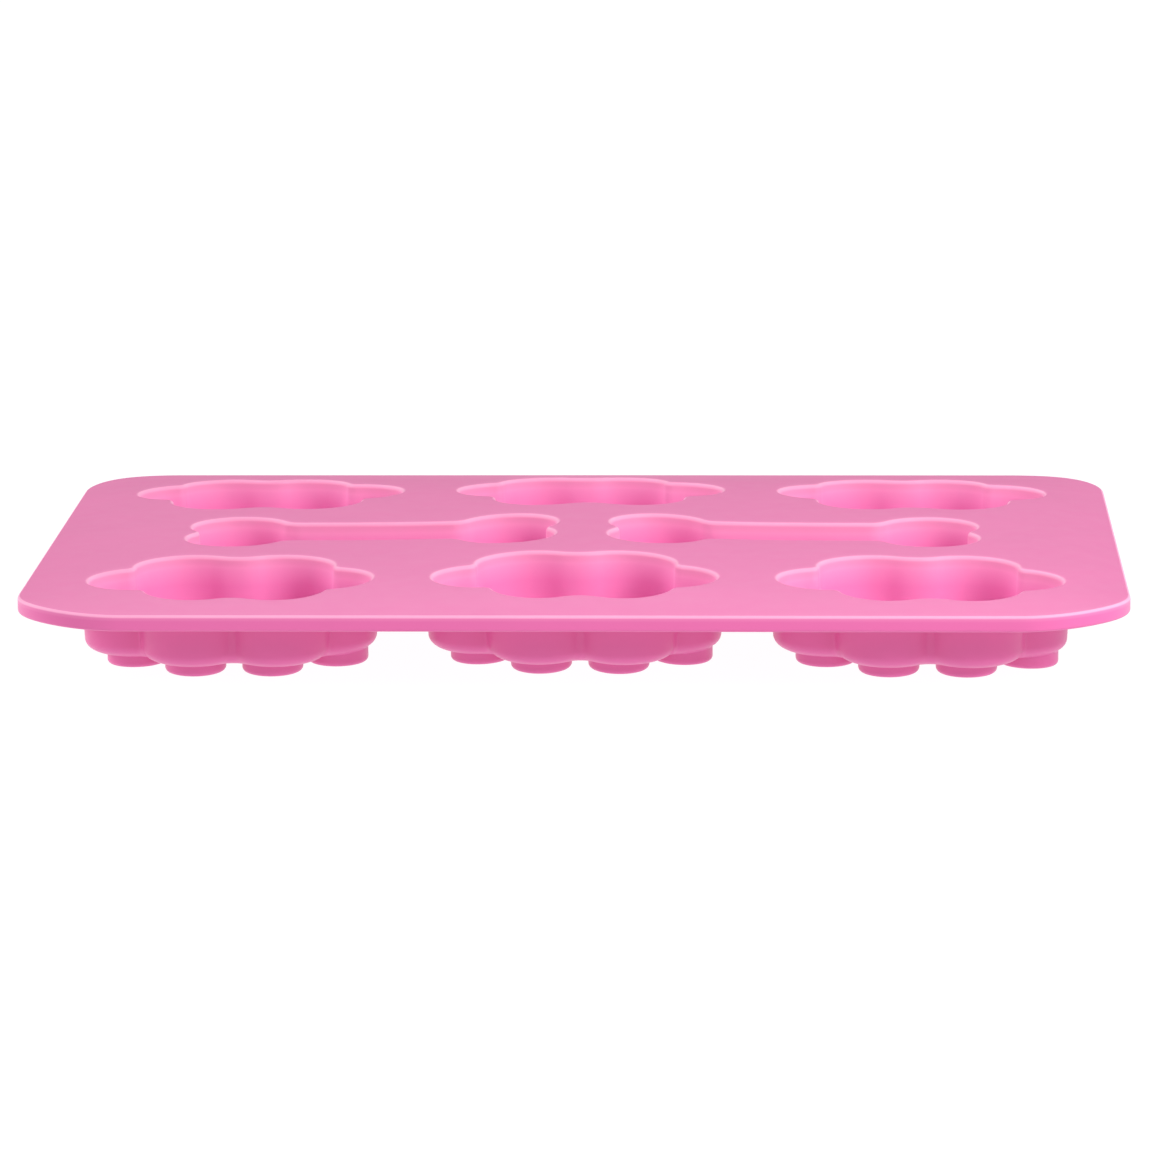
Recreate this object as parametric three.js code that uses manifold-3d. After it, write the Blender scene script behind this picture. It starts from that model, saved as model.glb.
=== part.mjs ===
// Silicone mould tray with six paw cavities in two rows and two bone cavities between the rows.
// The real tray is one moulding. Its regions are separate solids here: the deck, the rim bead under the
// deck's edge, one cup for each cavity, and the small wells in the floors of the paw cups.
// Units are millimetres, +Z is up, +X runs along the long side and -Y is the front. The origin is at the
// centre of the tray's footprint, on the surface that it stands on.
import * as THREE from "three";
import { mergeVertices } from "three/addons/utils/BufferGeometryUtils.js";
import Module from "manifold-3d";

const wasm = await Module();
wasm.setup();

// ---- driving dimensions ----
const LENGTH = 290;
const WIDTH = 210;
const HEIGHT = 22.2;
const CORNER_RADIUS = 30;
const DECK_THICKNESS = 2.2;
const RIM_HEIGHT = 4.4; // the deck's edge and the bead under it together
const RIM_WIDTH = 5;
const RIM_ROUND = 0.9;
const WALL = 2; // wall of a cup, square to its inner face
const FLOOR = 2;
const WELL_HEIGHT = 3.4; // how far a paw cup's wells stand out below its floor
const DRAFT = 0.6; // how far a cup's wall leans in from the deck to the floor
const INNER_ROUND = 2; // between a cup's wall and its floor, inside
const OUTER_ROUND = 1.5; // the same edge, outside
const WELL_ROUND = 0.8;
const WELL_WALL = 2;

const DECK_UNDERSIDE = HEIGHT - DECK_THICKNESS;
const PAW_UNDERSIDE = WELL_HEIGHT;
const BONE_UNDERSIDE = 0;

const PAW_PITCH = 90.5; // between the middles of neighbouring paws, along X
const PAW_ROW = 62.5; // from the tray's middle to the middle of a row of paws
const BONE_PLACE = 57.3; // from the tray's middle to the middle of a bone

// Lobes of a paw whose toes point to -Y, counter-clockwise. `round` is the radius of the hollow curve
// that joins a lobe to the next one. The two front toes sit a little to one side.
const PAW_LOBES = [
  { x: -8.2, y: -14.2, radius: 12.9, round: 18 },
  { x: 12.9, y: -14.2, radius: 12.9, round: 3 },
  { x: 24, y: -2.6, radius: 13.1, round: 3.2 },
  { x: 11.8, y: 13, radius: 14.2, round: 12 },
  { x: -12.2, y: 13, radius: 14.2, round: 3.2 },
  { x: -24, y: -2.6, radius: 13.1, round: 3 },
];
const PAW_ARC_STEPS = 4;
const PAW_ROUND_STEPS = 2;

// A bone's long edges are arcs of a very large circle, so they count as lobes too.
const KNOB = { x: 36.8, y: 8.6, radius: 13 };
const SHAFT_HALF_WIDTH = 12.6;
const SHAFT_BOW_RADIUS = 2000;
const END_HOLLOW = 3.2; // between the two knobs of one end
const NECK_HOLLOW = 6; // between a knob and the shaft
const BONE_LOBES = [
  { x: KNOB.x, y: -KNOB.y, radius: KNOB.radius, round: END_HOLLOW },
  { x: KNOB.x, y: KNOB.y, radius: KNOB.radius, round: NECK_HOLLOW },
  { x: 0, y: SHAFT_HALF_WIDTH - SHAFT_BOW_RADIUS, radius: SHAFT_BOW_RADIUS, round: NECK_HOLLOW },
  { x: -KNOB.x, y: KNOB.y, radius: KNOB.radius, round: END_HOLLOW },
  { x: -KNOB.x, y: -KNOB.y, radius: KNOB.radius, round: NECK_HOLLOW },
  { x: 0, y: SHAFT_BOW_RADIUS - SHAFT_HALF_WIDTH, radius: SHAFT_BOW_RADIUS, round: NECK_HOLLOW },
];
const BONE_ARC_STEPS = 5;
const BONE_ROUND_STEPS = 2;

// Wells in a paw's floor: a round one under each toe, and a three-lobed one under the pad.
const WELL_SHIFT = 1.8; // the whole set of wells sits this far to one side
const TOE_WELL_RADIUS = 8;
const TOE_WELL_SIDES = 16;
const TOE_WELLS = [
  { x: -26.4 + WELL_SHIFT, y: -3.2 },
  { x: -10.1 + WELL_SHIFT, y: -13.8 },
  { x: 10.1 + WELL_SHIFT, y: -13.8 },
  { x: 26.4 + WELL_SHIFT, y: -3.2 },
];
const PAD_WELL_LOBES = [
  { x: WELL_SHIFT, y: 5.6, radius: 8.4, round: 9 },
  { x: 9.6 + WELL_SHIFT, y: 13.4, radius: 7.4, round: 14 },
  { x: -9.6 + WELL_SHIFT, y: 13.4, radius: 7.4, round: 9 },
];
const PAD_ARC_STEPS = 5;
const PAD_ROUND_STEPS = 2;

const SILICONE = { color: 0xf06cab, roughness: 0.45, metalness: 0 };

// ---- outlines ----

// Points on a circle, both ends included. The turn goes from `from` towards `to` the way `sign` says.
function arc(centre, radius, from, to, sign, steps) {
  let turn = (to - from) * sign;
  while (turn < 0) turn += 2 * Math.PI;
  const points = [];
  for (let i = 0; i <= steps; i += 1) {
    const angle = from + (sign * turn * i) / steps;
    const x = centre.x + radius * Math.cos(angle);
    const y = centre.y + radius * Math.sin(angle);
    points.push(new THREE.Vector2(x, y));
  }
  return points;
}

// The circle that rounds the hollow between two lobes touches both from outside.
function hollowCentre(a, b, round) {
  const span = Math.hypot(b.x - a.x, b.y - a.y);
  const reachA = a.radius + round;
  const reachB = b.radius + round;
  const along = (span * span + reachA * reachA - reachB * reachB) / (2 * span);
  const out = Math.sqrt(reachA * reachA - along * along);
  const ux = (b.x - a.x) / span;
  const uy = (b.y - a.y) / span;
  return { x: a.x + ux * along + uy * out, y: a.y + uy * along - ux * out };
}

// A closed outline around lobes given counter-clockwise: each lobe's own arc, then the hollow arc to the
// next one. `grow` moves the whole outline outwards, so outlines of one shape have matching points.
function lobedOutline(lobes, grow, arcSteps, roundSteps) {
  const grown = lobes.map((l) => ({ ...l, radius: l.radius + grow, round: l.round - grow }));
  const hollows = grown.map((a, i) => hollowCentre(a, grown[(i + 1) % grown.length], a.round));
  const angle = (from, to) => Math.atan2(to.y - from.y, to.x - from.x);
  const points = [];
  grown.forEach((lobe, i) => {
    const before = hollows[(i + hollows.length - 1) % hollows.length];
    const after = hollows[i];
    const next = grown[(i + 1) % grown.length];
    points.push(...arc(lobe, lobe.radius, angle(lobe, before), angle(lobe, after), 1, arcSteps));
    const hollow = arc(after, lobe.round, angle(after, lobe), angle(after, next), -1, roundSteps);
    points.push(...hollow.slice(1, -1));
  });
  return points;
}

const pawOutline = (grow) => lobedOutline(PAW_LOBES, grow, PAW_ARC_STEPS, PAW_ROUND_STEPS);
const boneOutline = (grow) => lobedOutline(BONE_LOBES, grow, BONE_ARC_STEPS, BONE_ROUND_STEPS);
const padWellOutline = (grow) => lobedOutline(PAD_WELL_LOBES, grow, PAD_ARC_STEPS, PAD_ROUND_STEPS);

// The tray's rounded rectangle, moved inwards by `inset`.
function trayOutline(inset) {
  const cornerSteps = 6;
  const points = [];
  const corners = [[1, -1], [1, 1], [-1, 1], [-1, -1]];
  corners.forEach(([sx, sy], i) => {
    const centre = { x: sx * (LENGTH / 2 - CORNER_RADIUS), y: sy * (WIDTH / 2 - CORNER_RADIUS) };
    const start = (i - 1) * (Math.PI / 2);
    points.push(...arc(centre, CORNER_RADIUS - inset, start, start + Math.PI / 2, 1, cornerSteps));
  });
  return points;
}

// ---- solids ----

const ring = (outline, z) => outline.map((p) => new THREE.Vector3(p.x, p.y, z));

// Skins a stack of matching rings. The stack starts with the lowest ring of the outside, goes up the
// outside and down the inside. With `closed`, the last ring joins the first; otherwise both ends get a flat cap.
function loft(rings, closed = false) {
  const count = rings[0].length;
  const positions = rings.flat().flatMap((p) => [p.x, p.y, p.z]);
  const faces = [];
  const last = closed ? rings.length : rings.length - 1;
  for (let r = 0; r < last; r += 1) {
    const low = r * count;
    const high = ((r + 1) % rings.length) * count;
    for (let i = 0; i < count; i += 1) {
      const j = (i + 1) % count;
      faces.push(low + i, low + j, high + j, low + i, high + j, high + i);
    }
  }
  if (!closed) {
    const flat = (points) => points.map((p) => new THREE.Vector2(p.x, p.y));
    const top = (rings.length - 1) * count;
    for (const [a, b, c] of THREE.ShapeUtils.triangulateShape(flat(rings[0]), [])) faces.push(a, c, b);
    for (const [a, b, c] of THREE.ShapeUtils.triangulateShape(flat(rings[rings.length - 1]), [])) {
      faces.push(top + a, top + b, top + c);
    }
  }
  const geometry = new THREE.BufferGeometry();
  geometry.setAttribute("position", new THREE.Float32BufferAttribute(positions, 3));
  geometry.setIndex(faces);
  return geometry;
}

// A cup's skin: up the outside from its rounded bottom edge, over the flat top, and down the inside.
function cupGeometry(outline, underside) {
  const floor = underside + FLOOR;
  const rings = [ring(outline(WALL - DRAFT - OUTER_ROUND), underside)];
  for (const share of [0.5, 1]) {
    const angle = (share * Math.PI) / 2;
    const grow = WALL - DRAFT - OUTER_ROUND * (1 - Math.sin(angle));
    rings.push(ring(outline(grow), underside + OUTER_ROUND * (1 - Math.cos(angle))));
  }
  rings.push(ring(outline(WALL), DECK_UNDERSIDE), ring(outline(0), DECK_UNDERSIDE));
  rings.push(ring(outline(-DRAFT), floor + INNER_ROUND));
  rings.push(ring(outline(-DRAFT - INNER_ROUND * (1 - Math.SQRT1_2)), floor + INNER_ROUND * (1 - Math.SQRT1_2)));
  rings.push(ring(outline(-DRAFT - INNER_ROUND), floor));
  return loft(rings);
}

function toeWellGeometry() {
  const profile = [
    [0, 0],
    [TOE_WELL_RADIUS - WELL_ROUND, 0],
    [TOE_WELL_RADIUS, WELL_ROUND],
    [TOE_WELL_RADIUS, WELL_HEIGHT],
    [TOE_WELL_RADIUS - WELL_WALL, WELL_HEIGHT],
    [TOE_WELL_RADIUS - WELL_WALL, FLOOR],
    [0, FLOOR],
  ];
  const points = profile.map(([r, z]) => new THREE.Vector2(r, z));
  return new THREE.LatheGeometry(points, TOE_WELL_SIDES).rotateX(Math.PI / 2);
}

function padWellGeometry() {
  return loft([
    ring(padWellOutline(-WELL_ROUND), 0),
    ring(padWellOutline(0), WELL_ROUND),
    ring(padWellOutline(0), WELL_HEIGHT),
    ring(padWellOutline(-WELL_WALL), WELL_HEIGHT),
    ring(padWellOutline(-WELL_WALL), FLOOR),
  ]);
}

function rimGeometry() {
  const bottom = HEIGHT - RIM_HEIGHT;
  const rings = [
    ring(trayOutline(RIM_ROUND), bottom),
    ring(trayOutline(0), bottom + RIM_ROUND),
    ring(trayOutline(0), DECK_UNDERSIDE),
    ring(trayOutline(RIM_WIDTH), DECK_UNDERSIDE),
    ring(trayOutline(RIM_WIDTH), bottom),
  ];
  return loft(rings, true);
}

// An outline carried to its place on the tray, turned by half a turn for a cup of the back row.
const placed = (points, place) =>
  points.map((p) => p.clone().rotateAround(new THREE.Vector2(), place.turn).add(place.at));

function deckGeometry(places) {
  const shape = new THREE.Shape(trayOutline(0));
  for (const place of places) shape.holes.push(new THREE.Path(placed(place.outline(0), place)));
  const geometry = new THREE.ExtrudeGeometry(shape, { depth: DECK_THICKNESS, bevelEnabled: false });
  return geometry.translate(0, 0, DECK_UNDERSIDE);
}

// ---- openings in the paw cups' floors, cut with manifold-3d ----

function solidOf(geometry) {
  const bare = geometry.clone();
  bare.deleteAttribute("normal");
  bare.deleteAttribute("uv");
  const merged = mergeVertices(bare, 1e-4);
  const vertProperties = merged.attributes.position.array;
  const triVerts = new Uint32Array(merged.index.array);
  return new wasm.Manifold(new wasm.Mesh({ numProp: 3, vertProperties, triVerts }));
}

function geometryOf(solid) {
  const mesh = solid.getMesh();
  const geometry = new THREE.BufferGeometry();
  geometry.setAttribute("position", new THREE.Float32BufferAttribute(mesh.vertProperties, 3));
  geometry.setIndex(new THREE.BufferAttribute(mesh.triVerts, 1));
  return geometry;
}

function pawCupGeometry() {
  const from = PAW_UNDERSIDE - 1;
  const to = PAW_UNDERSIDE + FLOOR + 1;
  const padCutter = loft([ring(padWellOutline(-WELL_WALL), from), ring(padWellOutline(-WELL_WALL), to)]);
  let cup = solidOf(cupGeometry(pawOutline, PAW_UNDERSIDE)).subtract(solidOf(padCutter));
  for (const well of TOE_WELLS) {
    const radius = TOE_WELL_RADIUS - WELL_WALL;
    const cutter = new THREE.CylinderGeometry(radius, radius, to - from, TOE_WELL_SIDES);
    cutter.rotateX(Math.PI / 2).translate(well.x, well.y, (from + to) / 2);
    cup = cup.subtract(solidOf(cutter));
  }
  return geometryOf(cup);
}

// ---- the tray ----

const tray = new THREE.Group();
const material = () => new THREE.MeshStandardMaterial(SILICONE);

function addMesh(parent, name, geometry) {
  const mesh = new THREE.Mesh(geometry, material());
  mesh.name = name;
  parent.add(mesh);
  return mesh;
}

const columns = [["left", -PAW_PITCH], ["centre", 0], ["right", PAW_PITCH]];
const rows = [["front", -PAW_ROW, 0], ["back", PAW_ROW, Math.PI]];
const pawPlaces = rows.flatMap(([row, y, turn]) =>
  columns.map(([column, x]) => ({
    name: `${row}_${column}_paw`,
    at: new THREE.Vector2(x, y),
    turn,
    outline: pawOutline,
  })),
);
const bonePlaces = [["left", -BONE_PLACE], ["right", BONE_PLACE]].map(([side, x]) => ({
  name: `${side}_bone`,
  at: new THREE.Vector2(x, 0),
  turn: 0,
  outline: boneOutline,
}));

addMesh(tray, "deck", deckGeometry([...pawPlaces, ...bonePlaces]));
addMesh(tray, "rim_bead", rimGeometry());

const pawCup = pawCupGeometry();
for (const place of pawPlaces) {
  const paw = new THREE.Group();
  paw.position.set(place.at.x, place.at.y, 0);
  paw.rotation.z = place.turn;
  addMesh(paw, `${place.name}_cup`, pawCup);
  TOE_WELLS.forEach((well, i) => {
    addMesh(paw, `${place.name}_toe_well_${i + 1}`, toeWellGeometry()).position.set(well.x, well.y, 0);
  });
  addMesh(paw, `${place.name}_pad_well`, padWellGeometry());
  tray.add(paw);
}

const boneCup = cupGeometry(boneOutline, BONE_UNDERSIDE);
for (const place of bonePlaces) {
  addMesh(tray, `${place.name}_cup`, boneCup).position.set(place.at.x, place.at.y, 0);
}

export default tray;
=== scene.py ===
# %% [markdown]
# # A silicone tray with paw and bone cavities
# This lesson makes the visible surface of a one-piece silicone mould: a thin deck with a thickened rim, six
# paw-shaped cups whose floors have small wells for the toes and the pad, and two bone-shaped cups. It could
# be drawn freely, but an engineering model of the tray already exists. That model is loaded first, and the
# places, heights and overall size of the new surfaces are read from it, so the two always agree.

import bmesh
import bpy
import numpy as np
from mathutils import Matrix, Vector
from mathutils.geometry import delaunay_2d_cdt


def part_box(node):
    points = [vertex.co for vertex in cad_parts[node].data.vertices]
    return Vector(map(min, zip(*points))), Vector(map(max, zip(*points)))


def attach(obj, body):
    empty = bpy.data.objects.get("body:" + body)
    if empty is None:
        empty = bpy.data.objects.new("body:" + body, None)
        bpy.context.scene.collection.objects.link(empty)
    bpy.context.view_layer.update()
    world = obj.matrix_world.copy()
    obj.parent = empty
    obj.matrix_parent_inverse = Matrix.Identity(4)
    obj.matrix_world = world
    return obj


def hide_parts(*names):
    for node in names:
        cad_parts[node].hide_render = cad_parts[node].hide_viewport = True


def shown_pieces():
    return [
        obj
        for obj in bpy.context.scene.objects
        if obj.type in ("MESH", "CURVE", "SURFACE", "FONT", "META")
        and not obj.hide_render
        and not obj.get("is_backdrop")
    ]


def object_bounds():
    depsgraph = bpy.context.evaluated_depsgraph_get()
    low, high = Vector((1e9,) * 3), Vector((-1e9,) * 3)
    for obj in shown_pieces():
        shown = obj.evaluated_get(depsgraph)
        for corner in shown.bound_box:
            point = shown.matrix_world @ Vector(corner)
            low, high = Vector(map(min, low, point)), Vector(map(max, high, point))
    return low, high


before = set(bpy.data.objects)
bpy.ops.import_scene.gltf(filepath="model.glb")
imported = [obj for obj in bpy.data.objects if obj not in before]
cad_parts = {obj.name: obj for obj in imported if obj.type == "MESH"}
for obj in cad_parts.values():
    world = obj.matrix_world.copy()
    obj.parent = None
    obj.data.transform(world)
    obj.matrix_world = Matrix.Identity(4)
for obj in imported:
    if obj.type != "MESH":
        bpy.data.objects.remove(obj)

MM = 0.001
cad_low, cad_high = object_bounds()
LENGTH, WIDTH, HEIGHT = ((high - low) / MM for low, high in zip(cad_low, cad_high))
print(f"the tray is {LENGTH:.1f} x {WIDTH:.1f} x {HEIGHT:.1f} mm")

# %% [markdown]
# ## Sizes
# All lengths in the lesson are millimetres until a mesh is made. The heights come from the frame: the deck's
# box gives its thickness, and a cup's box gives the height of its underside. Small rounds that the plain
# engineering solids leave out are named here, because they are what catches the light on soft silicone.

# %% Sizes from the frame, and the small rounds
def heights(node):
    """Lowest and highest height of a node of the frame, in millimetres."""
    low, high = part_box(node)
    return low.z / MM, high.z / MM


def middle(node):
    """Middle of a node's box seen from above, in millimetres."""
    low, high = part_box(node)
    return (low.x + high.x) / 2 / MM, (low.y + high.y) / 2 / MM


DECK_UNDERSIDE = heights("deck")[0]
RIM_BOTTOM = heights("rim_bead")[0]
PAW_UNDERSIDE = heights("front_left_paw_cup")[0]
BONE_UNDERSIDE = heights("left_bone_cup")[0]

FRONT_CORNER = 30.0
BACK_CORNER = 26.0  # the back corners are a little tighter
RIM_WIDTH = 5.0
WALL = 2.0
FLOOR = 2.0
DRAFT = 0.6
MOUTH_ROUND = 1.3  # between the deck and a cavity's wall
FLOOR_ROUND = 1.2  # between a cavity's wall and its floor
NECK_ROUND = 0.8  # between the deck's underside and a cup's outer wall
FLAT = 0.2  # a narrow level ring that makes neighbouring surfaces meet without a crease
HEEL_REACH = 5.5  # how far in from the wall the round at the foot of a cup goes
HEEL_DROP = 3.8  # how high that round is
TOE_WELL_RADIUS = 8.0
WELL_WALL = 2.0
WELL_ROUND = 1.3
print(f"deck from {DECK_UNDERSIDE:.1f} to {HEIGHT:.1f} mm, rim down to {RIM_BOTTOM:.1f} mm")
print(f"paw cups down to {PAW_UNDERSIDE:.1f} mm, bone cups down to {BONE_UNDERSIDE:.1f} mm")

# %% [markdown]
# ## How the tray lies
# The tray comes out of its tool flat. Laid on a table, soft silicone keeps a little crown: it rises in from
# its four edges, and a little more along the middle column of cups. A cloth simulation could find this, but
# the crown is only a few millimetres over the whole length, so a smooth formula is enough: every point is
# moved straight up or down by an amount that depends only on where it is in plan. The outermost toes then
# stand on the table, so the whole crown is lowered by its own height there.

# %% Crown of the tray
CROWN = 2.8
CROWN_POWER_X = 10
CROWN_POWER_Y = 4.2
RIDGE = 1.4  # extra rise of the middle column
RIDGE_WIDTH = 34.0
CIRCLE_POINTS = 40


def crown(x, y):
    """A plateau less a high power of the distance along, plus a bell curve over the middle column, all
    multiplied by one minus a power of the distance across."""
    along = CROWN * (1 - np.clip(np.abs(2 * x / LENGTH), 0, 1) ** CROWN_POWER_X)
    ridge = RIDGE * np.exp(-((x / RIDGE_WIDTH) ** 2))
    return (along + ridge) * (1 - np.clip(np.abs(2 * y / WIDTH), 0, 1) ** CROWN_POWER_Y)


def lowest_under(node):
    """The crown's least height round the face that a toe's well stands on."""
    angle = np.linspace(0, 2 * np.pi, CIRCLE_POINTS + 1)
    x, y = middle(node)
    reach = TOE_WELL_RADIUS - WELL_ROUND
    return crown(x + reach * np.cos(angle), y + reach * np.sin(angle)).min()


SETTLE = min(lowest_under(node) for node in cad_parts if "toe_well" in node)


def lift(x, y):
    """How far a point of the flat tray moves up."""
    return crown(x, y) - SETTLE


edge_height = HEIGHT + lift(LENGTH / 2, 0)
print(f"the deck's edge is {edge_height:.2f} mm high and its middle {HEIGHT + lift(0, 0):.2f} mm")

# %% [markdown]
# ## Outlines made of lobes
# A paw and a bone are both rows of round lobes joined by small hollow curves, as a drawing with a compass
# would make them. Working them out as arcs has one great merit: an outline moved outwards or inwards is the
# same arcs with other radii, so the mouth, the wall and the floor of a cup all have matching points.

# %% Lobes of each outline
def lobes(*rows):
    """Each row is a lobe's middle x and y, its radius, and the radius of the hollow before the next lobe."""
    return np.array(rows, float)


WELL_SHIFT = 1.8  # the wells sit a little to one side of the paw's middle
PAW = lobes(
    (-8.2, -14.2, 12.9, 12.0),
    (12.9, -14.2, 12.9, 3.0),
    (24.0, -2.6, 13.1, 3.2),
    (11.8, 13.0, 14.2, 12.0),
    (-12.2, 13.0, 14.2, 3.2),
    (-24.0, -2.6, 13.1, 3.0),
)
PAW_OUTSIDE = PAW.copy()
PAW_OUTSIDE[0, 3] = 3.6  # outside, the crease between the two front toes is tighter than it is at the mouth
BOW = 2000.0  # the long edges of a bone are arcs of a very large circle
HALF_SHAFT = 12.6
BONE = lobes(
    (36.8, -8.6, 13.0, 3.2),
    (36.8, 8.6, 13.0, 6.0),
    (0.0, HALF_SHAFT - BOW, BOW, 6.0),
    (-36.8, 8.6, 13.0, 3.2),
    (-36.8, -8.6, 13.0, 6.0),
    (0.0, BOW - HALF_SHAFT, BOW, 6.0),
)
PAD_WELL = lobes(
    (WELL_SHIFT, 5.6, 8.4, 9.0),
    (9.6 + WELL_SHIFT, 13.4, 7.4, 14.0),
    (-9.6 + WELL_SHIFT, 13.4, 7.4, 9.0),
)
TOE_WELLS = [
    (-26.4 + WELL_SHIFT, -3.2),
    (-10.1 + WELL_SHIFT, -13.8),
    (10.1 + WELL_SHIFT, -13.8),
    (26.4 + WELL_SHIFT, -3.2),
]
print(f"a paw has {len(PAW)} lobes and {len(TOE_WELLS)} toe wells, a bone has {len(BONE)} lobes")

# %% Outline functions
LOBE_POINTS = 26
HOLLOW_POINTS = 9
BOW_POINTS = 34
CORNER_POINTS = 25
SIDE_POINTS = 58
TURN = 2 * np.pi


def arc(centre, radius, start, turn, count):
    """Points at equal angles from start through turn, both ends included."""
    angle = start + turn * np.linspace(0, 1, count)
    return np.column_stack([centre[0] + radius * np.cos(angle), centre[1] + radius * np.sin(angle)])


def between(start, end, count):
    """Points at equal steps from start to end, both ends left out."""
    return start + (end - start) * np.linspace(0, 1, count + 2)[1:-1, None]


def lobed(rows, grow=0.0):
    """Closed outline round the lobes, moved outwards by grow. A hollow's circle touches both of its lobes,
    so its middle is where circles of the summed radii round them cross."""
    middles, radius, hollow = rows[:, :2], rows[:, 2], rows[:, 3]
    following = np.roll(rows, -1, 0)
    step = following[:, :2] - middles
    span = np.hypot(*step.T)
    reach, reach_next = radius + hollow, following[:, 2] + hollow
    along = (span**2 + reach**2 - reach_next**2) / (2 * span)
    out = np.sqrt(reach**2 - along**2)
    unit = step / span[:, None]
    centres = middles + unit * along[:, None] + np.column_stack([unit[:, 1], -unit[:, 0]]) * out[:, None]
    before = np.roll(centres, 1, 0)
    toward = lambda a, b: np.arctan2(b[1] - a[1], b[0] - a[0])
    pieces = []
    for i in range(len(rows)):
        start = toward(middles[i], before[i])
        turn = (toward(middles[i], centres[i]) - start) % TURN
        count = LOBE_POINTS if radius[i] < BOW else BOW_POINTS
        pieces.append(arc(middles[i], radius[i] + grow, start, turn, count))
        start = toward(centres[i], middles[i])
        turn = (start - toward(centres[i], following[i, :2])) % TURN
        pieces.append(arc(centres[i], hollow[i] - grow, start, -turn, HOLLOW_POINTS)[1:-1])
    return np.concatenate(pieces)


def circle(centre, radius):
    """A closed circle of equal steps."""
    return arc(centre, radius, 0, TURN, CIRCLE_POINTS + 1)[:-1]


def tray_outline(inset):
    """The tray's rounded rectangle moved inwards: four quarter circles joined by straight rows of points."""
    corners = [(1, -1, FRONT_CORNER), (1, 1, BACK_CORNER), (-1, 1, BACK_CORNER), (-1, -1, FRONT_CORNER)]
    quarters = []
    for i, (sx, sy, radius) in enumerate(corners):
        centre = sx * (LENGTH / 2 - radius), sy * (WIDTH / 2 - radius)
        quarters.append(arc(centre, radius - inset, (i - 1) * TURN / 4, TURN / 4, CORNER_POINTS))
    sides = []
    for quarter, after in zip(quarters, quarters[1:] + quarters[:1]):
        sides += [quarter, between(quarter[-1], after[0], SIDE_POINTS)]
    return np.concatenate(sides)


print(f"a paw outline has {len(lobed(PAW))} points and a bone {len(lobed(BONE))}")
print(f"the tray's outline has {len(tray_outline(0))} points")

# %% [markdown]
# ## Profiles and patches
# A wall is a profile carried along an outline: at each step of the profile the outline is moved out or in by
# that step's amount and raised to its height. Rounds are arcs in the profile. What is left between outlines
# is nearly level (a cup's floor, its underside, the deck), and is filled with triangles that keep to the
# outlines.

# %% Profile and patch functions
LEAST_AREA = 1e-7  # thinner triangles lie along a straight outline and cover nothing
TOUCHING = 1e-7  # points nearer than this count as one when a patch is filled


def bend(grow, height, radius, start, turn, steps=7):
    """Profile points of a round: an arc about (grow, height), with its angles in quarter turns."""
    return arc((grow, height), radius, start * TURN / 4, turn * TURN / 4, steps)


def raised(points, height):
    """Gives plan points their height, which is a number or a function of the points."""
    heights = height(points) if callable(height) else np.full(len(points), float(height))
    return np.column_stack([points, heights])


def carried(profile, outline):
    """A grid of quads: row after row of the outline, each grown and raised as the profile says. Returns the
    points and the faces."""
    rings = [raised(outline(grow), height) for grow, height in profile]
    count, rows = len(rings[0]), len(rings)
    corner = np.arange(rows - 1)[:, None] * count + np.arange(count)
    beside = np.arange(rows - 1)[:, None] * count + (np.arange(count) + 1) % count
    faces = np.stack([corner, beside, beside + count, corner + count], -1).reshape(-1, 4)
    return np.concatenate(rings), faces


def inside(points, outline):
    """For every point, whether it lies within the closed outline: it does if a ray crosses an odd number of
    the outline's edges."""
    x, y = points[:, 0, None], points[:, 1, None]
    ax, ay = outline.T
    bx, by = np.roll(outline, -1, 0).T
    crosses = (ay > y) != (by > y)
    with np.errstate(divide="ignore", invalid="ignore"):
        hit = x < (bx - ax) * (y - ay) / (by - ay) + ax
    return (crosses & hit).sum(1) % 2 == 1


def distance(points, outline):
    """From every point to the nearest place on the closed outline: the foot of the perpendicular on each
    edge, held between the edge's ends."""
    start = outline
    edge = np.roll(outline, -1, 0) - start
    offset = points[:, None] - start
    share = np.clip((offset * edge).sum(-1) / (edge**2).sum(-1), 0, 1)
    return np.sqrt(((offset - share[..., None] * edge) ** 2).sum(-1)).min(1)


def patch(outer, holes, height, spare=None, surface=None):
    """Triangles that fill the space between an outer outline and the holes in it, at one height. `spare`
    holds extra points inside, so that a wide patch can bend. With `surface`, everything but the outer outline
    takes its height from that function of plan."""
    loops = [outer, *holes]
    starts = np.cumsum([0] + [len(loop) for loop in loops])
    edges = [np.column_stack([np.arange(len(p)), (np.arange(len(p)) + 1) % len(p)]) + start
             for p, start in zip(loops, starts)]
    flat = np.concatenate(loops + ([] if spare is None else [spare]))
    found = delaunay_2d_cdt(flat.tolist(), np.concatenate(edges).tolist(), [], 0, TOUCHING, False)
    spots, faces = np.array(found[0]), np.array(found[2])
    a, b, c = (spots[faces[:, i]] for i in range(3))
    area = np.abs((b[:, 0] - a[:, 0]) * (c[:, 1] - a[:, 1]) - (b[:, 1] - a[:, 1]) * (c[:, 0] - a[:, 0])) / 2
    centres = (a + b + c) / 3
    kept = inside(centres, outer) & (area > LEAST_AREA)
    for hole in holes:
        kept &= ~inside(centres, hole)
    points = raised(spots, height)
    if surface:
        points[len(outer):, 2] = surface(spots[len(outer):])
    return points, faces[kept]


paw_room = distance(np.zeros((1, 2)), lobed(PAW))[0]
print(f"the middle of a paw is {paw_room:.1f} mm from its outline")
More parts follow.
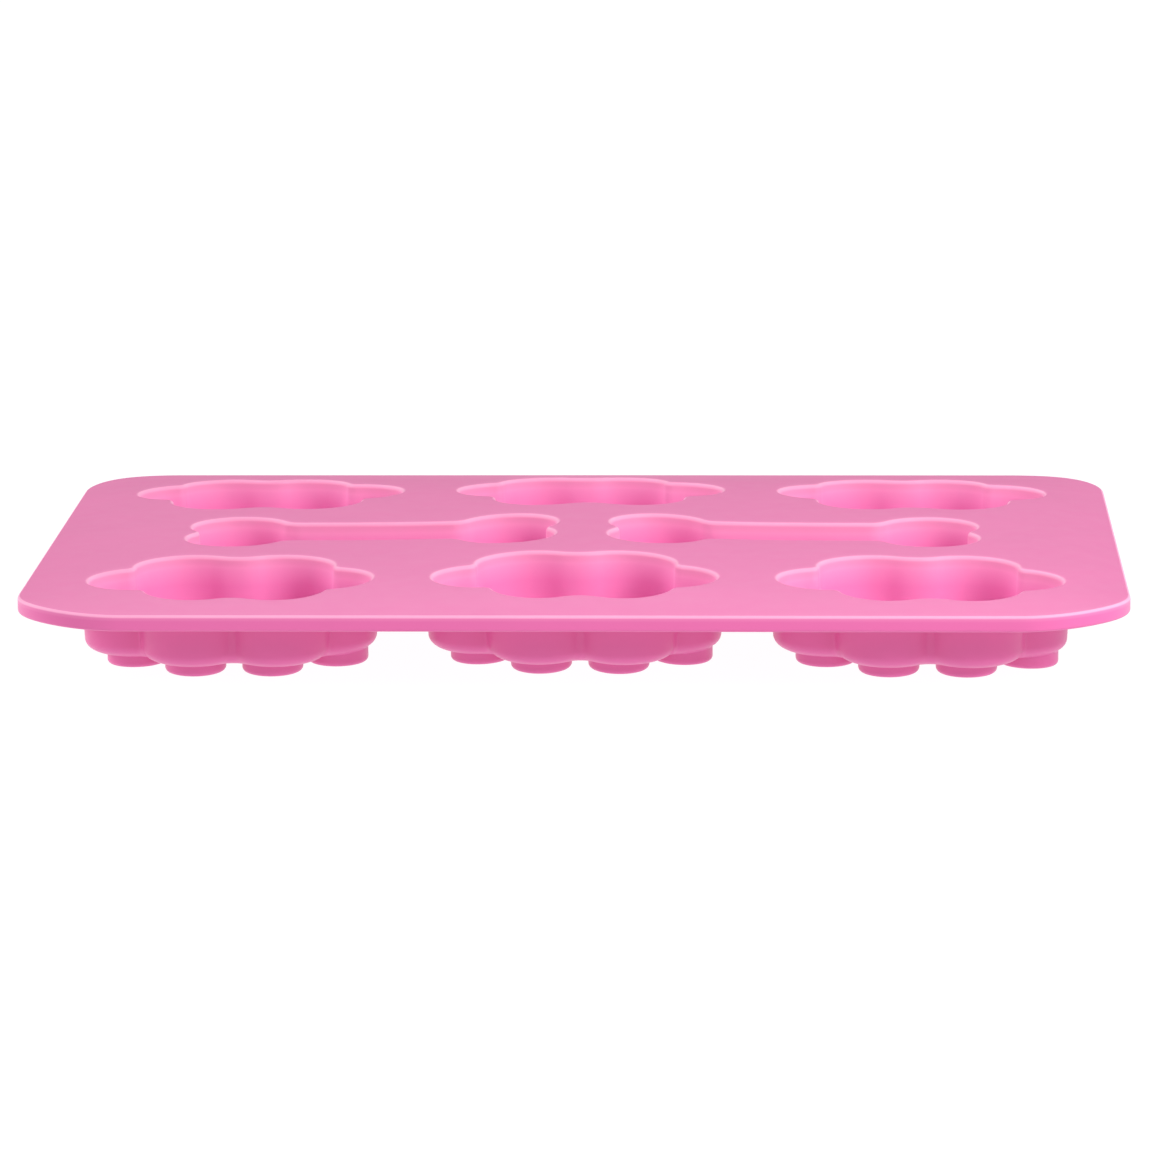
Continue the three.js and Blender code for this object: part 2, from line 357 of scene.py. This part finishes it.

# %% [markdown]
# ## One closed piece
# Walls and patches that share an outline become one skin when their doubled points are merged. Solidify
# could give a single surface its thickness, but inside and outside have different outlines and rounds here,
# so both are built. Two marks go with the points for the material to read: depth, which leads a painted
# paler tint and a painted glow in the cavities, and a band for a painted highlight on rounded edges.

# %% Make one closed piece out of walls and patches
SHARP_ANGLE = 40  # degrees; only the hidden faces between pieces are sharper
WELD = 2e-7  # metres; points of two parts nearer than this become one
DEEPEST = 10.0  # the depth at which the mark for depth reaches one
# The pale band is a painted highlight on the rounded edge of a mouth.
MOUTH_HIGHLIGHT_BAND = (0.15, 1.6, 1.0)  # shares of the round: pale band full, gone, and its fade


def painted_highlight_band(share, full, gone, fade):
    """How strong the painted highlight on a rounded edge is, from its share of the round: it grows at once
    and fades out slowly.
    """
    return np.clip(share / full, 0, 1) * np.clip((gone - share) / fade, 0, 1)


def lining(part):
    """Marks a part that lines a cavity. The first mark grows with depth and leads a painted paler tint and a
    painted glow; the second is a soft band of painted highlight over the rounded mouth. The material reads
    both."""
    points, faces = part
    drop = HEIGHT - points[:, 2]
    band = painted_highlight_band(drop / MOUTH_ROUND, *MOUTH_HIGHLIGHT_BAND)
    return points, faces, np.column_stack([np.clip(drop / DEEPEST, 0, 1), band])


def piece(name, parts, at=(0.0, 0.0), half_turn=False, nodes=()):
    """Puts the parts in one mesh, moves it to its place on the tray, lets it take the crown, and welds the
    outlines that the parts share. A part without marks counts as plain. Faces are turned outwards last."""
    mesh = bpy.data.meshes.new(name)
    points = np.concatenate([part[0] for part in parts])
    starts = np.cumsum([0] + [len(part[0]) for part in parts])
    faces = sum(((part[1] + start).tolist() for part, start in zip(parts, starts)), [])
    marks = np.concatenate([part[2] if len(part) > 2 else np.zeros((len(part[0]), 2)) for part in parts])
    if half_turn:
        points = points * (-1, -1, 1)
    points = points + (*at, 0.0)
    points[:, 2] += lift(points[:, 0], points[:, 1])
    mesh.from_pydata((points * MM).tolist(), [], faces)
    for mark, title in enumerate(("cavity", "painted_edge_highlight")):
        mesh.attributes.new(title, "FLOAT", "POINT").data.foreach_set("value", marks[:, mark].copy())
    shape = bmesh.new()
    shape.from_mesh(mesh)
    bmesh.ops.remove_doubles(shape, verts=shape.verts, dist=WELD)
    bmesh.ops.recalc_face_normals(shape, faces=shape.faces)
    open_edges = sum(not edge.is_manifold for edge in shape.edges)
    if shape.calc_volume(signed=True) < 0:
        bmesh.ops.reverse_faces(shape, faces=shape.faces)
    shape.to_mesh(mesh)
    shape.free()
    mesh.shade_smooth()
    mesh.set_sharp_from_angle(angle=np.radians(SHARP_ANGLE))
    made = bpy.data.objects.new(name, mesh)
    bpy.context.scene.collection.objects.link(made)
    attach(made, "root")
    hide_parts(*nodes)
    mesh.calc_loop_triangles()
    print(f"{name}: {len(mesh.loop_triangles)} triangles, {open_edges} open edges")
    return made


# %% [markdown]
# ## The cups
# A cup is one wall bent round a cavity. Its profile starts on the deck beside the mouth, rolls over the soft
# edge, goes down the slightly leaning wall and rolls into the floor. The outside follows at the wall's
# thickness, with a small neck under the deck. Its foot is a generous round, wider than it is high, and the
# outermost toe stands partly on it. So only the first part of that round is a carried profile; the rest of
# the underside is a patch whose height depends on how far in from the wall a point lies.

# %% Profiles shared by all the cups
NECK = WALL + NECK_ROUND
WALL_FOOT = WALL - DRAFT
HEEL_STEPS = 13
HEEL_CARRIED = 5  # how many of the steps belong to the carried profile
heel_inward = HEEL_REACH * (1 - np.cos(np.linspace(0, np.pi / 2, HEEL_STEPS)))


def heel_rise(inward):
    """Height above a cup's flat underside, for a distance in from the wall: a quarter of an ellipse."""
    share = np.clip(1 - inward / HEEL_REACH, 0, 1)
    return HEEL_DROP * (1 - np.sqrt(1 - share**2))


def inner_profile(floor):
    """Down the inside, from the level ring on the deck to the level ring on the floor."""
    mouth = bend(MOUTH_ROUND, HEIGHT - MOUTH_ROUND, MOUTH_ROUND, 1, 1, steps=9)
    toe = bend(-DRAFT - FLOOR_ROUND, floor + FLOOR_ROUND, FLOOR_ROUND, 0, -1, steps=6)
    wall = between(mouth[-1], toe[0], 5)
    return [(MOUTH_ROUND + FLAT, HEIGHT), *mouth, *wall, *toe, (toe[-1][0] - FLAT, floor)]


def outer_profile(underside):
    """Down the outside, from the deck's underside to partly round the heel."""
    neck = bend(NECK, DECK_UNDERSIDE - NECK_ROUND, NECK_ROUND, 1, 1, steps=6)
    inward = heel_inward[:HEEL_CARRIED]
    heel = np.column_stack([WALL_FOOT - inward, underside + heel_rise(inward)])
    wall = between(neck[-1], heel[0], 4)
    return [(NECK + FLAT, DECK_UNDERSIDE), *neck, *wall, *heel]


def joint_profile():
    """The hidden face where a cup meets the deck, from its top to its bottom."""
    return [(MOUTH_ROUND + FLAT, HEIGHT), (NECK + FLAT, DECK_UNDERSIDE)]


paw_steps = len(inner_profile(PAW_UNDERSIDE + FLOOR)), len(outer_profile(PAW_UNDERSIDE))
print(f"a cup's profile has {paw_steps[0]} steps inside and {paw_steps[1]} outside")

# %% [markdown]
# ### Wells
# Under each toe and under the pad the floor of a paw drops into a small well, so that a cast bar has raised
# toes. From below the wells are short round feet, and the tray stands on them. Each is the same pair of
# profiles on a smaller outline: a circle for a toe, three lobes for the pad.

# %% Profiles of a well
WELL_NECK = 0.3
WELL_EDGE = 0.3


def well_inside(floor):
    """From the cup's floor over a soft edge, down, and into the well's floor."""
    edge = bend(-WELL_WALL + WELL_EDGE, floor - WELL_EDGE, WELL_EDGE, 1, 1, steps=5)
    toe = bend(-WELL_WALL - WELL_EDGE, FLOOR + WELL_EDGE, WELL_EDGE, 0, -1, steps=5)
    return [(edge[0][0] + FLAT / 2, floor), *edge, *toe]


def well_outside(surface):
    """From the cup's underside through a small neck, down, and round to the face that stands on the table."""
    below = lambda drop: lambda points: surface(points) - drop
    neck = bend(WELL_NECK, -WELL_NECK, WELL_NECK, 1, 1, steps=4)
    heel = bend(-WELL_ROUND, WELL_ROUND, WELL_ROUND, 0, -1, steps=8)
    return [*[(grow, below(-height)) for grow, height in neck], *heel]


print(f"a well hangs {PAW_UNDERSIDE:.1f} mm below the cup's underside")

# %% [markdown]
# ### A whole cup
# A cup is made of the parts above: the outside, the hidden face against the deck, and the lining. Spare
# points along the heel let its patch follow the round. A boolean cut could let the wells in, but it leaves
# uneven triangles; holes in both patches, with a well's profiles carried round them, meet exactly.

# %% Parts of a cup
RING_CLEARANCE = 0.7


def spare_rings(outline, holes):
    """Points along the rest of the heel, without those that are within or close to a hole."""
    rings = np.concatenate([outline(WALL_FOOT - inward) for inward in heel_inward[HEEL_CARRIED:]])
    for hole in holes:
        rings = rings[~inside(rings, hole) & (distance(rings, hole) > RING_CLEARANCE)]
    return rings


def joint(inside_edge, outside_edge):
    """The hidden face's outline function: the inside's outline at the top and the outside's at the bottom."""
    return lambda grow: outside_edge(grow) if grow >= NECK else inside_edge(grow)


def cup_parts(outline, outer_outline, underside, wells=()):
    """The outside with its underside, the hidden face against the deck, and the lining of the cavity with its
    floor. Any wells are let into both sides."""
    floor = underside + FLOOR
    wall_line = outer_outline(WALL_FOOT)
    surface = lambda points: underside + heel_rise(distance(points, wall_line))
    inner, outer = inner_profile(floor), outer_profile(underside)
    well_in, well_out = well_inside(floor), well_outside(surface)
    sunk = [well(well_in[0][0]) for well in wells]
    stood = [well(well_out[0][0]) for well in wells]
    parts = [
        carried(outer, outer_outline),
        carried(joint_profile(), joint(outline, outer_outline)),
        patch(outer_outline(outer[-1][0]), stood, outer[-1][1], spare_rings(outer_outline, stood), surface),
        lining(carried(inner, outline)),
        lining(patch(outline(inner[-1][0]), sunk, floor)),
    ]
    for well in wells:
        parts += [
            carried(well_out, well),
            patch(well(well_out[-1][0]), [], well_out[-1][1]),
            lining(carried(well_in, well)),
            lining(patch(well(well_in[-1][0]), [], well_in[-1][1])),
        ]
    return parts


# %% [markdown]
# ### The eight cups in their places
# The front row's paws point to the front and the back row's to the back, so one set of parts serves both,
# turned half round. Each cup stands in for the nodes of the frame that it covers.

# %% Six paw cups and two bone cups
def toe_outline(spot):
    """The outline of a toe's well, as a function of how far it is moved outwards."""
    return lambda grow: circle(spot, TOE_WELL_RADIUS + grow)


paw_wells = [toe_outline(spot) for spot in TOE_WELLS] + [lambda grow: lobed(PAD_WELL, grow)]
paw_edge = lambda grow: lobed(PAW, grow)
paw_outside = lambda grow: lobed(PAW_OUTSIDE, grow)
bone_edge = lambda grow: lobed(BONE, grow)
paw_parts = cup_parts(paw_edge, paw_outside, PAW_UNDERSIDE, paw_wells)
bone_parts = cup_parts(bone_edge, bone_edge, BONE_UNDERSIDE)


def place_of(node, outline, half_turn):
    """Where an outline's own origin belongs, found by laying its box over the node's box."""
    edge = outline(WALL)
    offset = (edge.min(0) + edge.max(0)) / 2
    return np.array(middle(node)) - offset * (-1 if half_turn else 1)


cups = []  # each cup's outline at its joint, and its place, which the deck's holes need as well
for row, half_turn in (("front", False), ("back", True)):
    for column in ("left", "centre", "right"):
        name = f"{row}_{column}_paw"
        at = place_of(f"{name}_cup", paw_edge, half_turn)
        nodes = [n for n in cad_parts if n.startswith(name)]
        piece(f"{name}_skin", paw_parts, at, half_turn, nodes)
        cups.append((joint(paw_edge, paw_outside), at, half_turn))
for side in ("left", "right"):
    at = place_of(f"{side}_bone_cup", bone_edge, False)
    piece(f"{side}_bone_skin", bone_parts, at, False, [f"{side}_bone_cup"])
    cups.append((bone_edge, at, False))

# %% [markdown]
# ## Deck and rim
# The deck is the thin sheet that holds the cups, and the rim is the thicker border that keeps it from
# flopping. The rim is one more profile, carried round the outside: a crisp upper edge, an upright face, a
# rounded lower edge, and an inner side that turns into the deck's underside.

# %% Rim profile
LIP_ROUND = 0.8
LIP_HEEL = 1.0
RIM_NECK = 1.2


def rim_profile():
    """From the deck over the lip, down the face, under, and up the inner side. A profile's first number is
    measured inwards here, so the arcs run the other way about."""
    top = bend(LIP_ROUND, HEIGHT - LIP_ROUND, LIP_ROUND, 1, 1, steps=8)
    heel = bend(LIP_HEEL, RIM_BOTTOM + LIP_HEEL, LIP_HEEL, 2, 1, steps=7)
    inner_heel = bend(RIM_WIDTH - LIP_HEEL, RIM_BOTTOM + LIP_HEEL, LIP_HEEL, 3, 1, steps=6)
    neck = bend(RIM_WIDTH + RIM_NECK, DECK_UNDERSIDE - RIM_NECK, RIM_NECK, 2, -1, steps=6)
    face = between(top[-1], heel[0], 2)
    start, end = (LIP_ROUND + FLAT, HEIGHT), (neck[-1][0] + FLAT, DECK_UNDERSIDE)
    return [start, *top, *face, *heel, *inner_heel, *neck, end]


rim = rim_profile()
print(f"the rim's profile has {len(rim)} steps")

# %% [markdown]
# The deck could be a plain plate with holes, but long thin triangles can't follow the crown. So a grid of
# spare points is laid over it first, without the ones that are too near an outline, and the patch is filled
# through them. Where a cup joins the deck, the deck has the same hidden face as the cup.

# %% Deck with its rim
GRID_STEP = 3.5
CLEARANCE = 1.6
# The lip's band is a painted highlight on the rim's rounded upper edge.
LIP_HIGHLIGHT_BAND = (0.1, 1.1, 0.5)


def placed(outline, at, half_turn):
    """An outline in its place on the tray."""
    return outline * (-1 if half_turn else 1) + at


def spare_points(outer, holes):
    """A grid of points over the deck, without those outside it, in a hole, or close to an outline."""
    x = np.arange(-LENGTH / 2, LENGTH / 2, GRID_STEP) + GRID_STEP / 2
    y = np.arange(-WIDTH / 2, WIDTH / 2, GRID_STEP) + GRID_STEP / 2
    grid = np.stack(np.meshgrid(x, y), -1).reshape(-1, 2)
    grid = grid[inside(grid, outer)]
    for hole in holes:
        grid = grid[~inside(grid, hole)]
    edge = np.concatenate([outer, *holes])
    nearest = np.hypot(edge[:, 0] - grid[:, :1], edge[:, 1] - grid[:, 1:]).min(1)
    return grid[nearest > CLEARANCE]


def deck_face(inset, grow, height):
    """The deck's upper or lower face: the rounded rectangle without the cups."""
    outer = tray_outline(inset)
    holes = [placed(edge(grow), at, turned) for edge, at, turned in cups]
    return patch(outer, holes, height, spare_points(outer, holes))


def lip_painted_highlight(part):
    """Marks the rounded upper edge of the rim for a painted highlight, with the same second mark as a mouth.
    """
    points, faces = part
    band = painted_highlight_band((HEIGHT - points[:, 2]) / LIP_ROUND, *LIP_HIGHLIGHT_BAND)
    return points, faces, np.column_stack([np.zeros(len(points)), band])


deck_parts = [
    lip_painted_highlight(carried(rim, tray_outline)),
    deck_face(rim[0][0], MOUTH_ROUND + FLAT, HEIGHT),
    deck_face(rim[-1][0], NECK + FLAT, DECK_UNDERSIDE),
]
for edge, at, turned in cups:
    points, faces = carried(joint_profile(), edge)
    deck_parts.append((np.column_stack([placed(points[:, :2], at, turned), points[:, 2]]), faces))
piece("deck_skin", deck_parts, nodes=["deck", "rim_bead"])

# %% [markdown]
# ## Silicone
# Cured silicone is satin: it has a broad soft highlight and a faint cloudiness from its filler. Light goes a
# millimetre or two into it, so the thin wall of a cavity glows with light that has come through from outside,
# while the deck and the rim look plainer. Subsurface scattering could make that glow, but it would show the
# joints between the pieces, which the real moulding does not have. So the glow is painted light: a paler tint
# and a weak emission, led by the depth that the cavity walls carry. The rounded edges of the mouths and the
# rim get a painted highlight in the same way. The surface copies the tool's uneven polish, so the roughness
# varies over a few millimetres and the height over less than one.

# %% Silicone material
DECK_PINK = (0.80, 0.147, 0.405, 1.0)
# The cavity walls' tints are painted light, not the silicone's own colour: paler than the deck, palest in
# their first millimetres.
TOP_PAINTED_LIGHT_PINK = (0.90, 0.40, 0.62, 1.0)  # the first millimetres of a cavity's wall
WALL_PAINTED_LIGHT_PINK = (0.82, 0.265, 0.51, 1.0)  # the rest of it
# The edge tint is a painted highlight on the rounded mouths and lip.
EDGE_HIGHLIGHT_PINK = (0.93, 0.44, 0.63, 1.0)
# The glow is painted: a weak emission in the cavities and on the painted edge highlight.
PAINTED_GLOW = (0.12, 0.008, 0.06, 1.0)
NO_GLOW = (0.0, 0.0, 0.0, 1.0)
LINED = 0.3  # mark for depth at which the deck's tint has given way to the wall's
TOP_ENDS, DEEP_STARTS = 0.15, 0.8  # marks for depth between which the wall goes from its top tint to its own
CLOUD_SCALE, CLOUD_DETAIL = 45.0, 3.0
CLOUD_SHADE = 0.94  # how dark the darkest cloud is against the lightest
POLISH_SCALE, POLISH_DETAIL = 180.0, 4.0
SMOOTHEST, ROUGHEST = 0.33, 0.42
GRAIN_SCALE, GRAIN_DETAIL = 1400.0, 5.0
GRAIN_STRENGTH = 0.12
GRAIN_HEIGHT = 0.00008  # metres
SILICONE_IOR = 1.42


def silicone():
    """Pink with a faint cloudiness, satin with a faint unevenness, and painted light: a paler tint and a weak
    glow in the cavities, and a painted highlight on rounded edges.
    """
    made = bpy.data.materials.new("pink_silicone")
    made.use_nodes = True
    tree = made.node_tree
    shader = tree.nodes["Principled BSDF"]
    place = tree.nodes.new("ShaderNodeTexCoord")

    def mark(title):
        node = tree.nodes.new("ShaderNodeAttribute")
        node.attribute_name = title
        return node.outputs["Fac"]

    def noise(scale, detail):
        node = tree.nodes.new("ShaderNodeTexNoise")
        node.inputs["Scale"].default_value = scale
        node.inputs["Detail"].default_value = detail
        tree.links.new(place.outputs["Object"], node.inputs["Vector"])
        return node.outputs["Fac"]

    def blend(first, second, share):
        node = tree.nodes.new("ShaderNodeMix")
        node.data_type = "RGBA"
        for value, socket in zip((first, second, share), ("A", "B", "Factor")):
            if isinstance(value, tuple):
                node.inputs[socket].default_value = value
            else:
                tree.links.new(value, node.inputs[socket])
        return node.outputs["Result"]

    def ranged(value, low, high, start=0.0, end=1.0):
        node = tree.nodes.new("ShaderNodeMapRange")
        node.inputs["From Min"].default_value = start
        node.inputs["From Max"].default_value = end
        node.inputs["To Min"].default_value = low
        node.inputs["To Max"].default_value = high
        tree.links.new(value, node.inputs["Value"])
        return node.outputs["Result"]

    depth = mark("cavity")
    # The edge mark leads the painted highlight on rounded edges.
    edge = mark("painted_edge_highlight")
    lined = ranged(depth, 0.0, 1.0, end=LINED)
    wall = blend(TOP_PAINTED_LIGHT_PINK, WALL_PAINTED_LIGHT_PINK, ranged(depth, 0.0, 1.0, TOP_ENDS, DEEP_STARTS))
    tint = blend(blend(DECK_PINK, wall, lined), EDGE_HIGHLIGHT_PINK, edge)
    clouded = tree.nodes.new("ShaderNodeVectorMath")
    clouded.operation = "SCALE"
    tree.links.new(tint, clouded.inputs["Vector"])
    tree.links.new(ranged(noise(CLOUD_SCALE, CLOUD_DETAIL), CLOUD_SHADE, 1.0), clouded.inputs["Scale"])
    tree.links.new(clouded.outputs["Vector"], shader.inputs["Base Color"])
    # The painted glow follows the depth mark and the painted edge highlight.
    thin = tree.nodes.new("ShaderNodeMath")
    thin.operation = "MAXIMUM"
    tree.links.new(lined, thin.inputs[0])
    tree.links.new(edge, thin.inputs[1])
    glow = blend(NO_GLOW, PAINTED_GLOW, thin.outputs["Value"])
    tree.links.new(glow, shader.inputs["Emission Color"])
    shader.inputs["Emission Strength"].default_value = 1.0
    polish = ranged(noise(POLISH_SCALE, POLISH_DETAIL), SMOOTHEST, ROUGHEST)
    tree.links.new(polish, shader.inputs["Roughness"])
    bump = tree.nodes.new("ShaderNodeBump")
    bump.inputs["Strength"].default_value = GRAIN_STRENGTH
    bump.inputs["Distance"].default_value = GRAIN_HEIGHT
    tree.links.new(noise(GRAIN_SCALE, GRAIN_DETAIL), bump.inputs["Height"])
    tree.links.new(bump.outputs["Normal"], shader.inputs["Normal"])
    shader.inputs["IOR"].default_value = SILICONE_IOR
    return made


pink = silicone()
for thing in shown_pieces():
    thing.data.materials.clear()
    thing.data.materials.append(pink)

# %% [markdown]
# ## Floor
# The tray stands on a lit white table, so there is hardly a shadow and much light from below. A plain white
# floor would need strong lamps to look this even. One that gives off most of its own light does it simply.

# %% Floor
FLOOR_SIZE = 40.0
TABLE_GREY = (0.06, 0.06, 0.06, 1.0)
TABLE_GLOW = 0.97


def floor():
    """A large white table that gives off most of its own light."""
    bpy.ops.mesh.primitive_plane_add(size=FLOOR_SIZE)
    table = bpy.context.object
    table.name = "floor"
    paint = bpy.data.materials.new("white_table")
    paint.use_nodes = True
    shader = paint.node_tree.nodes["Principled BSDF"]
    shader.inputs["Base Color"].default_value = TABLE_GREY
    shader.inputs["Roughness"].default_value = 0.9
    shader.inputs["Emission Color"].default_value = (1, 1, 1, 1)
    shader.inputs["Emission Strength"].default_value = TABLE_GLOW
    table.data.materials.append(paint)
    table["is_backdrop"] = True
    print(f"{table.name} is {FLOOR_SIZE:.0f} m wide")


floor()

# %% [markdown]
# ## Room
# A satin deck seen at a low angle mirrors the far side of the room, so the room's own brightness matters as
# much as the lamps. Large panels could stand in for its walls. A background whose strength depends on
# direction is simpler: a dim ceiling, brighter walls at both ends, and more light high up behind the tray.

# %% Room light that depends on direction
CEILING = 0.18
HORIZON = 0.15
ENDS = 0.6
BEHIND = 1.35
HORIZON_TOP = 0.45  # height of a direction at which the horizon's light has gone
HORIZON_FALL = 1.5  # power that shapes how it goes
BEHIND_LOW, BEHIND_HIGH = 0.22, 0.36  # heights between which the light behind grows


def room():
    """Ceiling everywhere, plus (horizon + ends times x squared) falling off with height, plus light behind
    that grows with height."""
    world = bpy.data.worlds.new("studio_room")
    world.use_nodes = True
    tree = world.node_tree
    place = tree.nodes.new("ShaderNodeTexCoord")
    split = tree.nodes.new("ShaderNodeSeparateXYZ")
    tree.links.new(place.outputs["Generated"], split.inputs["Vector"])

    def calc(operation, *values, clamp=False):
        node = tree.nodes.new("ShaderNodeMath")
        node.operation = operation
        node.use_clamp = clamp
        for socket, value in zip(node.inputs, values):
            if isinstance(value, (int, float)):
                socket.default_value = value
            else:
                tree.links.new(value, socket)
        return node.outputs["Value"]

    x, y, z = (split.outputs[axis] for axis in "XYZ")
    low = calc("SUBTRACT", 1.0, calc("DIVIDE", z, HORIZON_TOP), clamp=True)
    sides = calc("MULTIPLY_ADD", calc("MULTIPLY", x, x), ENDS, HORIZON)
    above = calc("DIVIDE", calc("SUBTRACT", z, BEHIND_LOW), BEHIND_HIGH - BEHIND_LOW, clamp=True)
    back = calc("MULTIPLY", calc("MAXIMUM", y, 0.0), above)
    glow = calc("MULTIPLY_ADD", calc("POWER", low, HORIZON_FALL), sides, CEILING)
    strength = calc("MULTIPLY_ADD", back, BEHIND, glow)
    tree.links.new(strength, tree.nodes["Background"].inputs["Strength"])
    tree.nodes["Background"].inputs["Color"].default_value = (1, 1, 1, 1)
    bpy.context.scene.world = world
    print(f"{world.name} lights the scene")


room()

# %% [markdown]
# ## Softboxes
# Two large square lamps give the cavities their light and dark sides: a near one at the front right, and a
# wider, farther one on the left that opens up the right ends. They could be mesh panels, but an area light
# gives less noise. Mirrored at a low angle they would turn the whole deck white for somebody on the far
# side, so they light the silicone without being seen in its gloss.

# %% Softboxes
def softbox(name, azimuth, elevation, size, watts, distance):
    """A square soft light aimed at the tray, in metres, degrees and watts. Its azimuth is counted from the
    front towards the right. A distant camera may stand behind it, so it is hidden from the camera itself."""
    light = bpy.data.lights.new(name, "AREA")
    light.size = size
    light.energy = watts
    lamp = bpy.data.objects.new(name, light)
    turn, rise = np.radians(azimuth), np.radians(elevation)
    toward = Vector((np.cos(rise) * np.sin(turn), -np.cos(rise) * np.cos(turn), np.sin(rise)))
    lamp.location = distance * toward
    lamp.rotation_euler = toward.to_track_quat("Z", "Y").to_euler()
    lamp.visible_camera = False
    lamp.visible_glossy = False
    bpy.context.scene.collection.objects.link(lamp)
    print(f"{name} gives {watts} W from {distance} m away")


softbox("key_softbox", azimuth=48, elevation=36, size=0.6, watts=10.2, distance=1.1)
softbox("left_softbox", azimuth=-94, elevation=24, size=0.9, watts=15.5, distance=1.7)

# %% [markdown]
# ## Camera
# The tray is seen from its front, a little above the deck and from well back, which keeps its sides from
# spreading much. A long lens at a distance does this. A short lens close by would swell the front row.

# %% Camera
CAMERA_YAW = np.radians(2.207)
CAMERA_DIP = np.radians(10.791)
CAMERA_ROLL = np.radians(-0.368)
CAMERA_PLACE = (62.55, -1680.5, 311.2)  # from the middle of the deck's edge plane
SENSOR = 36.0
LENS = 196.6

camera = bpy.data.cameras.new("camera")
camera.sensor_width = SENSOR
camera.lens = LENS
camera.clip_start, camera.clip_end = 0.01, 100.0
viewer = bpy.data.objects.new("camera", camera)
turn = (Matrix.Rotation(CAMERA_YAW, 4, "Z") @ Matrix.Rotation(np.pi / 2 - CAMERA_DIP, 4, "X")
        @ Matrix.Rotation(CAMERA_ROLL, 4, "Z"))
spot = Vector(CAMERA_PLACE) + Vector((0, 0, edge_height))
viewer.matrix_world = Matrix.Translation(spot * MM) @ turn
bpy.context.scene.collection.objects.link(viewer)
bpy.context.scene.camera = viewer
bpy.context.scene.view_settings.view_transform = "Standard"
print(f"the camera is {viewer.location.length:.2f} m away, with a {LENS:.0f} mm lens")
